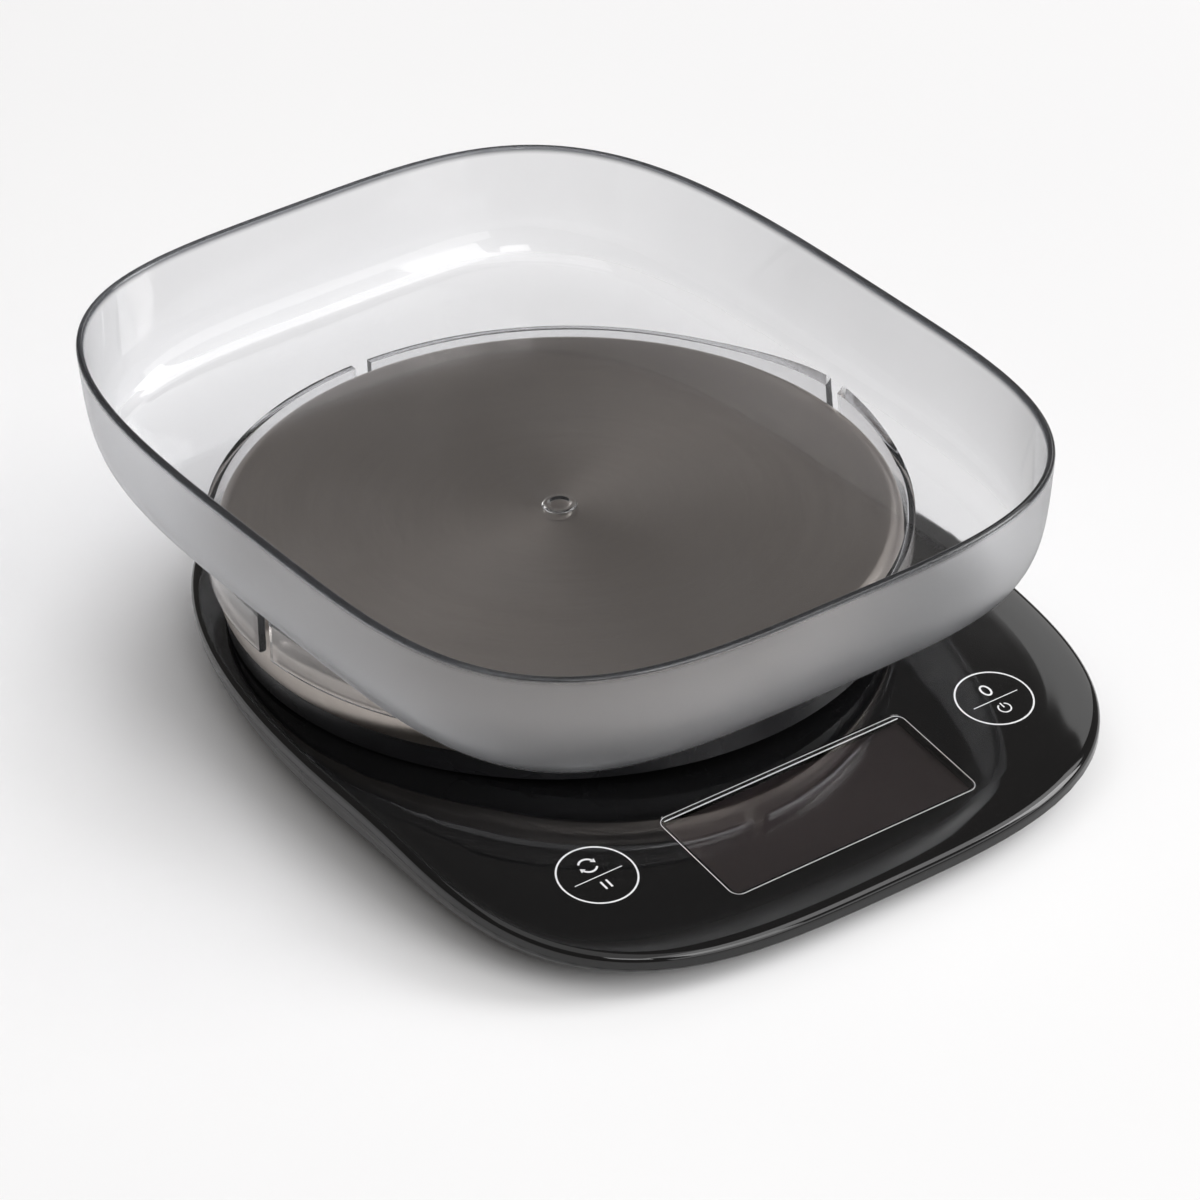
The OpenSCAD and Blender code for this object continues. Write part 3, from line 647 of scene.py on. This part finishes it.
# The locating ring under the floor: four arcs round the platform, with gaps between them.
RING_R, RING_T, RING_GAP, RING_LOW = 82.1, 1.9, 4.6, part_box("bowl")[0][2] / MM
RING_OUT = RING_R + RING_T
ring_section = [(RING_R, SEAT + 6), (RING_R, RING_LOW + 0.5), (RING_R + 0.15, RING_LOW + 0.15),
                (RING_R + 0.5, RING_LOW), (RING_OUT - 0.5, RING_LOW), (RING_OUT - 0.15, RING_LOW + 0.15),
                (RING_OUT, RING_LOW + 0.5), (RING_OUT, SEAT + 6)]
gap_half = math.degrees(math.asin(RING_GAP / 2 / RING_R))
ribs = []
for k in range(4):
    ribs.append(revolve(f"rib{k}", ring_section, 64, 0, AX_Y, True, 90 * k + gap_half, 90 - 2 * gap_half))
bm = bmesh.new()
for rib in ribs:
    bm.from_mesh(rib.data)
bm.to_mesh(ribs[0].data)
bm.free()
for rib in ribs[1:]:
    delete(rib)

# What of the arcs would stand above the floor or the wall is cut away by a body that fills the bowl's
# inside and reaches TRIM_IN into the wall and TRIM_FLOOR of its thickness short of the floor's underside.
TRIM_IN, TRIM_FLOOR = 0.6, 0.6
trim_line = [(d, SEAT + WALL * TRIM_FLOOR) for d in (86, 60, 30)]
trim_line += [(d - TRIM_IN, z - TRIM_IN) for d, z in inner[::-1][1:]] + [(2.0, RIM + 4)]
trim = tidy(loft("trim", [bowl_ring(d, z) for d, z in trim_line]))
boolean(ribs[0], [trim], "DIFFERENCE")

# The moulding gate's mark in the middle of the floor: radius, and height above the floor.
GATE_LINE = [(0, -0.3), (4.3, -0.3), (4.15, 0.15), (3.8, 0.42), (3.3, 0.5), (2.8, 0.42), (2.4, 0.12),
             (2.0, 0.03), (1.4, 0.05), (0.9, 0.2), (0.0, 0.24)]
gate = revolve("gate", [(r, SEAT + WALL + z) for r, z in GATE_LINE], 64, 0, AX_Y)
boolean(bowl, [ribs[0], gate], "UNION")
smooth(tidy(bowl), 40)


def share(value, start, blend):
    """0 up to start, and from there up to 1 over the blend."""
    return min(1, max(0, (value - start) / blend))


def mark_finish(ob):
    """Two shares from 0 to 1 at each point, for the material: satin on the outer wall, painted shade at the
    rim.
    """
    me = ob.data
    satin = me.attributes.new("satin", "FLOAT", "POINT")
    edge = me.attributes.new("edge", "FLOAT", "POINT")
    for v in me.vertices:
        x, y, z = (c / MM for c in v.co)
        outward = Vector((x, y - AX_Y - BOWL_Y)).normalized()
        facing = share(outward.dot(Vector(v.normal[:2])), 0.25, 0.35)
        above_floor, below_rim = share(z - SEAT, 1.0, 5.0), share(RIM - z, 0.6, 0.6)
        satin.data[v.index].value = facing * above_floor * below_rim
        # Painted shade along the rim's top.
        edge.data[v.index].value = share(z - RIM, -1.1, 0.35)


mark_finish(bowl)
piece(bowl, "smoky_clear", "bowl", "bowl")

# ---------------------------------------------------------------- steel plate
# Thickness, radius of the shoulder and of its middle, how much the skirt leans in at SKIRT_TOP and SKIRT_MID.
SHEET, SHOULDER, SHOULDER_R = 0.8, 3.3, 78.0
SKIRT_TOP, LEAN_TOP, SKIRT_MID, LEAN_MID = PLATE_TOP - 5, 0.35, 34, 0.15


def shoulder(radius, angles):
    """Points round the plate's shoulder, at these angles above the level."""
    turns = [math.radians(a) for a in angles]
    return [(SHOULDER_R + radius * math.cos(a), PLATE_TOP - SHOULDER + radius * math.sin(a)) for a in turns]


plate_line = [(0, PLATE_TOP), (30, PLATE_TOP), (60, PLATE_TOP), (77.2, PLATE_TOP)]
plate_line += shoulder(SHOULDER, range(88, -1, -8))
plate_line += [(PLATE_R - LEAN_TOP, SKIRT_TOP), (PLATE_R - LEAN_MID, SKIRT_MID), (PLATE_R, PLATE_LOW + 0.25),
               (PLATE_R - 0.12, PLATE_LOW), (PLATE_R - SHEET + 0.12, PLATE_LOW),
               (PLATE_R - SHEET, PLATE_LOW + 0.25), (PLATE_R - LEAN_TOP - SHEET, SKIRT_TOP)]
plate_line += shoulder(SHOULDER - SHEET, range(0, 91, 10))
plate_line += [(0, PLATE_TOP - SHEET)]
plate = smooth(revolve("steel_plate", plate_line, 360, 0, AX_Y, False), 50)
piece(plate, "stainless", "platform", "platform_plate")

# ---------------------------------------------------------------- top cover
COVER_ANGLES = turn_angles(320)
COVER_T, EDGE_LOW = 2.4, -4.2
# The cover's edge outside and inside: how far in from the outline, and height from the deck.
EDGE_OUT = [(0, EDGE_LOW), (0, -2.6), (0.3, -1.75), (0.95, -1.15), (1.9, -0.82), (4.5, -0.42), (8, -0.12),
            (11.5, 0)]
EDGE_IN = [(12, -COVER_T), (5.4, -2.85), (3.2, -3.3), (2.4, -3.9), (2.4, EDGE_LOW)]


def top_ring(d, dz):
    """The base's outline set in by d, dz above the deck, following its fall."""
    return [(x, y + AX_Y, top_z(y) + dz) for x, y in (base_pt(t, d) for t in COVER_ANGLES)]


cover_line = [(d, -COVER_T) for d in (70, 56, 44, 34, 26, 18)] + EDGE_IN + smooth_line(EDGE_OUT, 5)
cover_line += [(d, 0) for d in (14, 18, 24, 30, 38, 46, 54, 62, 70)]
cover = tidy(loft("top_shell", [top_ring(d, dz) for d, dz in cover_line]))

# The window: its size and corner radius, and the ledge that the lens rests on.
W, H, RC, LEDGE = 70.0, 29.8, 2.4, 1.1


def cutter(name, w, h, r, steps):
    """A body through the strip; each step says how much wider than w by h it is at a height."""
    rings = []
    for o, z in steps:
        rings.append([(x, y, z) for x, y in rounded(w + 2 * o, h + 2 * o, r + max(o, 0))])
    return on_strip(tidy(loft(name, rings)))


pocket = cutter("pocket", W, H, RC, [(0.1, -1.5), (0.1, -0.3), (0.6, 0.2), (0.6, 4)])
opening = cutter("through", W - 2 * LEDGE, H - 2 * LEDGE, 1.2, [(0, -8), (0, 3)])
# The hole that the platform's hub comes through.
HUB_X, HUB_W, HUB_D = -23, 32, 26
hub_outline = [(x + HUB_X, y + AX_Y) for x, y in rounded(HUB_W, HUB_D, 1.0)]
hub = tidy(loft("hub_hole", [[(x, y, z) for x, y in hub_outline] for z in (14, 30)]))
boolean(cover, [pocket, opening, hub], "DIFFERENCE")

# Screw posts under the deck, one for each foot: where they are from the weighing axis, and how far under the
# deck the post and its hole end.
POSTS = [(-48, -105), (48, -105), (-50, 46), (50, 46)]
POST_R, POST_HOLE_R, POST_LOW, POST_BEVEL, POST_TOP, HOLE_TOP = 3.6, 1.52, 8.65, 0.2, 1.2, 3.2
posts = []
for i, (x, y) in enumerate(POSTS):
    top, hole_top = top_z(y) - POST_TOP, top_z(y) - HOLE_TOP
    post_line = [(POST_HOLE_R, POST_LOW), (POST_R - POST_BEVEL, POST_LOW), (POST_R, POST_LOW + POST_BEVEL),
                 (POST_R, top), (0, top), (0, hole_top), (POST_HOLE_R, hole_top)]
    posts.append(revolve(f"post{i}", post_line, 48, x, y + AX_Y))
boolean(cover, posts, "UNION")
weigh_normals(smooth(tidy(cover), 28))
piece(cover, "black_gloss", "base", "top_cover")

# ---------------------------------------------------------------- lens
# How far the lens's side stands in from the window, and height from the deck, from the bottom up.
LENS_LINE = [(0.05, -1.5), (0, -1.45), (0, -0.55), (0.05, -0.42), (0.15, -0.33), (0.3, -0.3)]
lens_rings = []
for d, z in LENS_LINE:
    lens_rings.append([(x, y, z) for x, y in rounded(W - 2 * d, H - 2 * d, RC - d)])
lens = on_strip(tidy(loft("lens", lens_rings)))
weigh_normals(smooth(lens, 50))
piece(lens, "display_clear", "base", "display_lens")

# A thin pale band round the window, doubled along its rear side, is a painted highlight where light
# catches the lens's edge. Such bands and the ink are FILM_T thick.
FILM_T, EDGE_Z = 0.03, -0.28
EDGE_W, REAR_W, REAR_IN = 0.3, 0.06, 1.3


def edge_line(name, wide, x1, y0, y1, r):
    """A thin closed band, wide outside the rounded rectangle from -x1, y0 to x1, y1."""
    loops = []
    for o, dz in ((0, 0), (wide, 0), (wide, FILM_T), (0, FILM_T)):
        outline = rounded(2 * x1 + 2 * o, y1 - y0 + 2 * o, r + o)
        loops.append([(x, y + (y0 + y1) / 2, EDGE_Z + dz) for x, y in outline])
    n, verts, faces = len(loops[0]), [p for r in loops for p in r], []
    for k in range(4):
        for i in range(n):
            j, k2 = (i + 1) % n, (k + 1) % 4
            faces.append((k * n + i, k * n + j, k2 * n + j, k2 * n + i))
    return smooth(on_strip(tidy(new_object(name, verts, faces))), 30)


edge = edge_line("lens_edge", EDGE_W, W / 2, -H / 2, H / 2, RC)
piece(edge, "lens_edge_highlight", "base")
rear = edge_line("lens_edge_rear", 2 * REAR_W, W / 2 - REAR_IN, H / 2 - LEDGE - REAR_W, H / 2 - LEDGE, 0.02)
piece(rear, "lens_edge_highlight", "base")

# ---------------------------------------------------------------- printed rings and signs
INK_Z = 0.02


def turned(x, y, px, py, turn):
    """The point px, py turned by an angle in degrees and moved by x, y."""
    c, s = math.cos(math.radians(turn)), math.sin(math.radians(turn))
    return x + c * px - s * py, y + s * px + c * py


def ink_ring(name, x, y, r, w, start=0.0, sweep=360.0):
    """A ring, or an arc of one, drawn with a pen w wide."""
    low, high = INK_Z, INK_Z + FILM_T
    line = [(r - w / 2, low), (r + w / 2, low), (r + w / 2, high), (r - w / 2, high)]
    return on_strip(revolve(name, line, 128, x, y, True, start, sweep))


def ink_shape(name, x, y, pts, turn=0.0):
    """A filled outline."""
    n = len(pts)
    verts = []
    for z in (INK_Z, INK_Z + FILM_T):
        verts += [(*turned(x, y, px, py, turn), z) for px, py in pts]
    faces = [tuple(range(n - 1, -1, -1)), tuple(range(n, 2 * n))]
    faces += [(i, (i + 1) % n, n + (i + 1) % n, n + i) for i in range(n)]
    return on_strip(tidy(new_object(name, verts, faces)))


def oval(name, x, y, rx, ry, w):
    """A nought drawn with a pen w wide."""
    n, verts, faces = 64, [], []
    for z in (INK_Z, INK_Z + FILM_T):
        for inset in (0, w):
            for i in range(n):
                a = 2 * math.pi * i / n
                verts.append((x + (rx - inset) * math.cos(a), y + (ry - inset) * math.sin(a), z))
    for i in range(n):
        j = (i + 1) % n
        faces += [(i, n + i, n + j, j), (2 * n + i, 2 * n + j, 3 * n + j, 3 * n + i)]
        faces += [(i, j, 2 * n + j, 2 * n + i), (n + i, 3 * n + i, 3 * n + j, n + j)]
    return on_strip(tidy(new_object(name, verts, faces)))


def bar(name, x, y, w, h):
    return ink_shape(name, x, y, [(-w / 2, -h / 2), (w / 2, -h / 2), (w / 2, h / 2), (-w / 2, h / 2)])


# The keys lie at KEY_X to either side and KEY_Y behind the window's middle.
KEY_X, KEY_Y, KEY_R, LINE = 57.4, 7.2, 9.5, 0.42
DIVIDER_W, DIVIDER_H = 13.0, 0.22
marks = []
for side, x in (("unit", -KEY_X), ("zero", KEY_X)):
    marks.append(ink_ring(f"{side}_ring", x, KEY_Y, KEY_R - LINE / 2, LINE))
    marks.append(bar(f"{side}_divider", x, KEY_Y - 0.5, DIVIDER_W, DIVIDER_H))
# Left key: turning arrows over two upright bars.
TURN_R, TURN_Y, TIP = 2.1, KEY_Y + 3.6, [(-0.75, 0.35), (0.75, 0.35), (0, -0.75)]
for k in (0, 1):
    start = 20 + 180 * k
    tip_x, tip_y = TURN_R * math.cos(math.radians(start)), TURN_R * math.sin(math.radians(start))
    marks.append(ink_ring(f"unit_turn_{k}", -KEY_X, TURN_Y, TURN_R, 0.5, start, 125))
    marks.append(ink_shape(f"unit_tip_{k}", -KEY_X + tip_x, TURN_Y + tip_y, TIP, start))
    marks.append(bar(f"unit_pause_{k}", -KEY_X - 0.75 + 1.5 * k, KEY_Y - 3.6, 0.5, 2.6))
# Right key: a nought over the usual on-off sign.
marks.append(oval("zero_nought", KEY_X, KEY_Y + 3.2, 1.35, 1.95, 0.5))
marks.append(ink_ring("zero_power_arc", KEY_X, KEY_Y - 3.9, 1.55, 0.35, 120, 300))
marks.append(bar("zero_power_bar", KEY_X, KEY_Y - 2.9, 0.35, 1.7))
for m in marks:
    piece(smooth(m, 30), "ink", "base")


# ---------------------------------------------------------------- floor, camera, light
def floor_paper():
    n = Nodes("floor_paper")
    colour = n.ramp(n.noise(3.0, 3.0, 0.5), (0.3, (0.86, 0.86, 0.868)), (0.7, (0.88, 0.88, 0.885)))
    return n.done(n.principled(Base_Color=colour, Roughness=0.9, Specular_IOR_Level=0.1))


REACH = 4000
corners = [(-REACH, -REACH, 0), (REACH, -REACH, 0), (REACH, REACH, 0), (-REACH, REACH, 0)]
floor = new_object("floor", corners, [(0, 1, 2, 3)])
floor.data.materials.append(floor_paper())


def direction(azimuth, elevation):
    """Towards a viewpoint or a light: azimuth 0 is the front, 90 the right, 180 the back, in degrees."""
    a, e = math.radians(azimuth), math.radians(elevation)
    return Vector((math.sin(a) * math.cos(e), -math.cos(a) * math.cos(e), math.sin(e)))


# The photo's viewpoint: direction from the object, roll, place in metres, and focal length.
AZIMUTH, ELEVATION, ROLL = -35.64, 33.36, math.radians(-1.14)
PLACE, FOCAL = (-0.68986, -0.9703, 0.80605), 180.06
back = direction(AZIMUTH, ELEVATION)
level = Vector((math.cos(math.radians(AZIMUTH)), math.sin(math.radians(AZIMUTH)), 0))
upright = back.cross(level)
right = math.cos(ROLL) * level + math.sin(ROLL) * upright
up = -math.sin(ROLL) * level + math.cos(ROLL) * upright
cam_data = bpy.data.cameras.new("camera")
cam_data.sensor_fit = "HORIZONTAL"
cam_data.sensor_width = 36.0
cam_data.lens = FOCAL
cam_data.clip_start, cam_data.clip_end = 0.05, 30
cam = bpy.data.objects.new("camera", cam_data)
scene.collection.objects.link(cam)
cam.matrix_world = Matrix([(right[k], up[k], back[k], PLACE[k]) for k in range(3)] + [(0, 0, 0, 1)])
scene.camera = cam

# Distance of the lights from the object, in metres.
FAR = 9.0


def area(name, azimuth, elevation, wide, high, power):
    """A distant soft panel, wide and high in degrees as seen from the object."""
    p = FAR * direction(azimuth, elevation)
    d = bpy.data.lights.new(name, "AREA")
    d.shape, d.energy = "RECTANGLE", power
    d.size, d.size_y = (2 * FAR * math.tan(math.radians(v / 2)) for v in (wide, high))
    ob = bpy.data.objects.new(name, d)
    scene.collection.objects.link(ob)
    ob.location = p
    ob.rotation_mode = "QUATERNION"
    ob.rotation_quaternion = p.to_track_quat("Z", "Y")


# Panes and one wide bank above them stand to the front right, and dim panels fill from low down, from above
# and from the side.
area("pane_right", 62, 29, 22, 26, 330)
area("pane_middle", 12, 31, 26, 22, 180)
area("pane_left", -25, 38, 18, 14, 92)
area("bank", 42, 52, 70, 24, 430)
area("low", 25, 13, 70, 14, 150)
area("ceiling", -60, 72, 56, 44, 190)
area("side", 119, 33, 18, 24, 52)

world = bpy.data.worlds.new("studio")
world.use_nodes = True
sky = world.node_tree.nodes["Background"]
sky.inputs["Color"].default_value = (1.0, 0.94, 0.89, 1)
sky.inputs["Strength"].default_value = 0.165
scene.world = world
scene.view_settings.view_transform = "Standard"
scene.view_settings.look = "None"
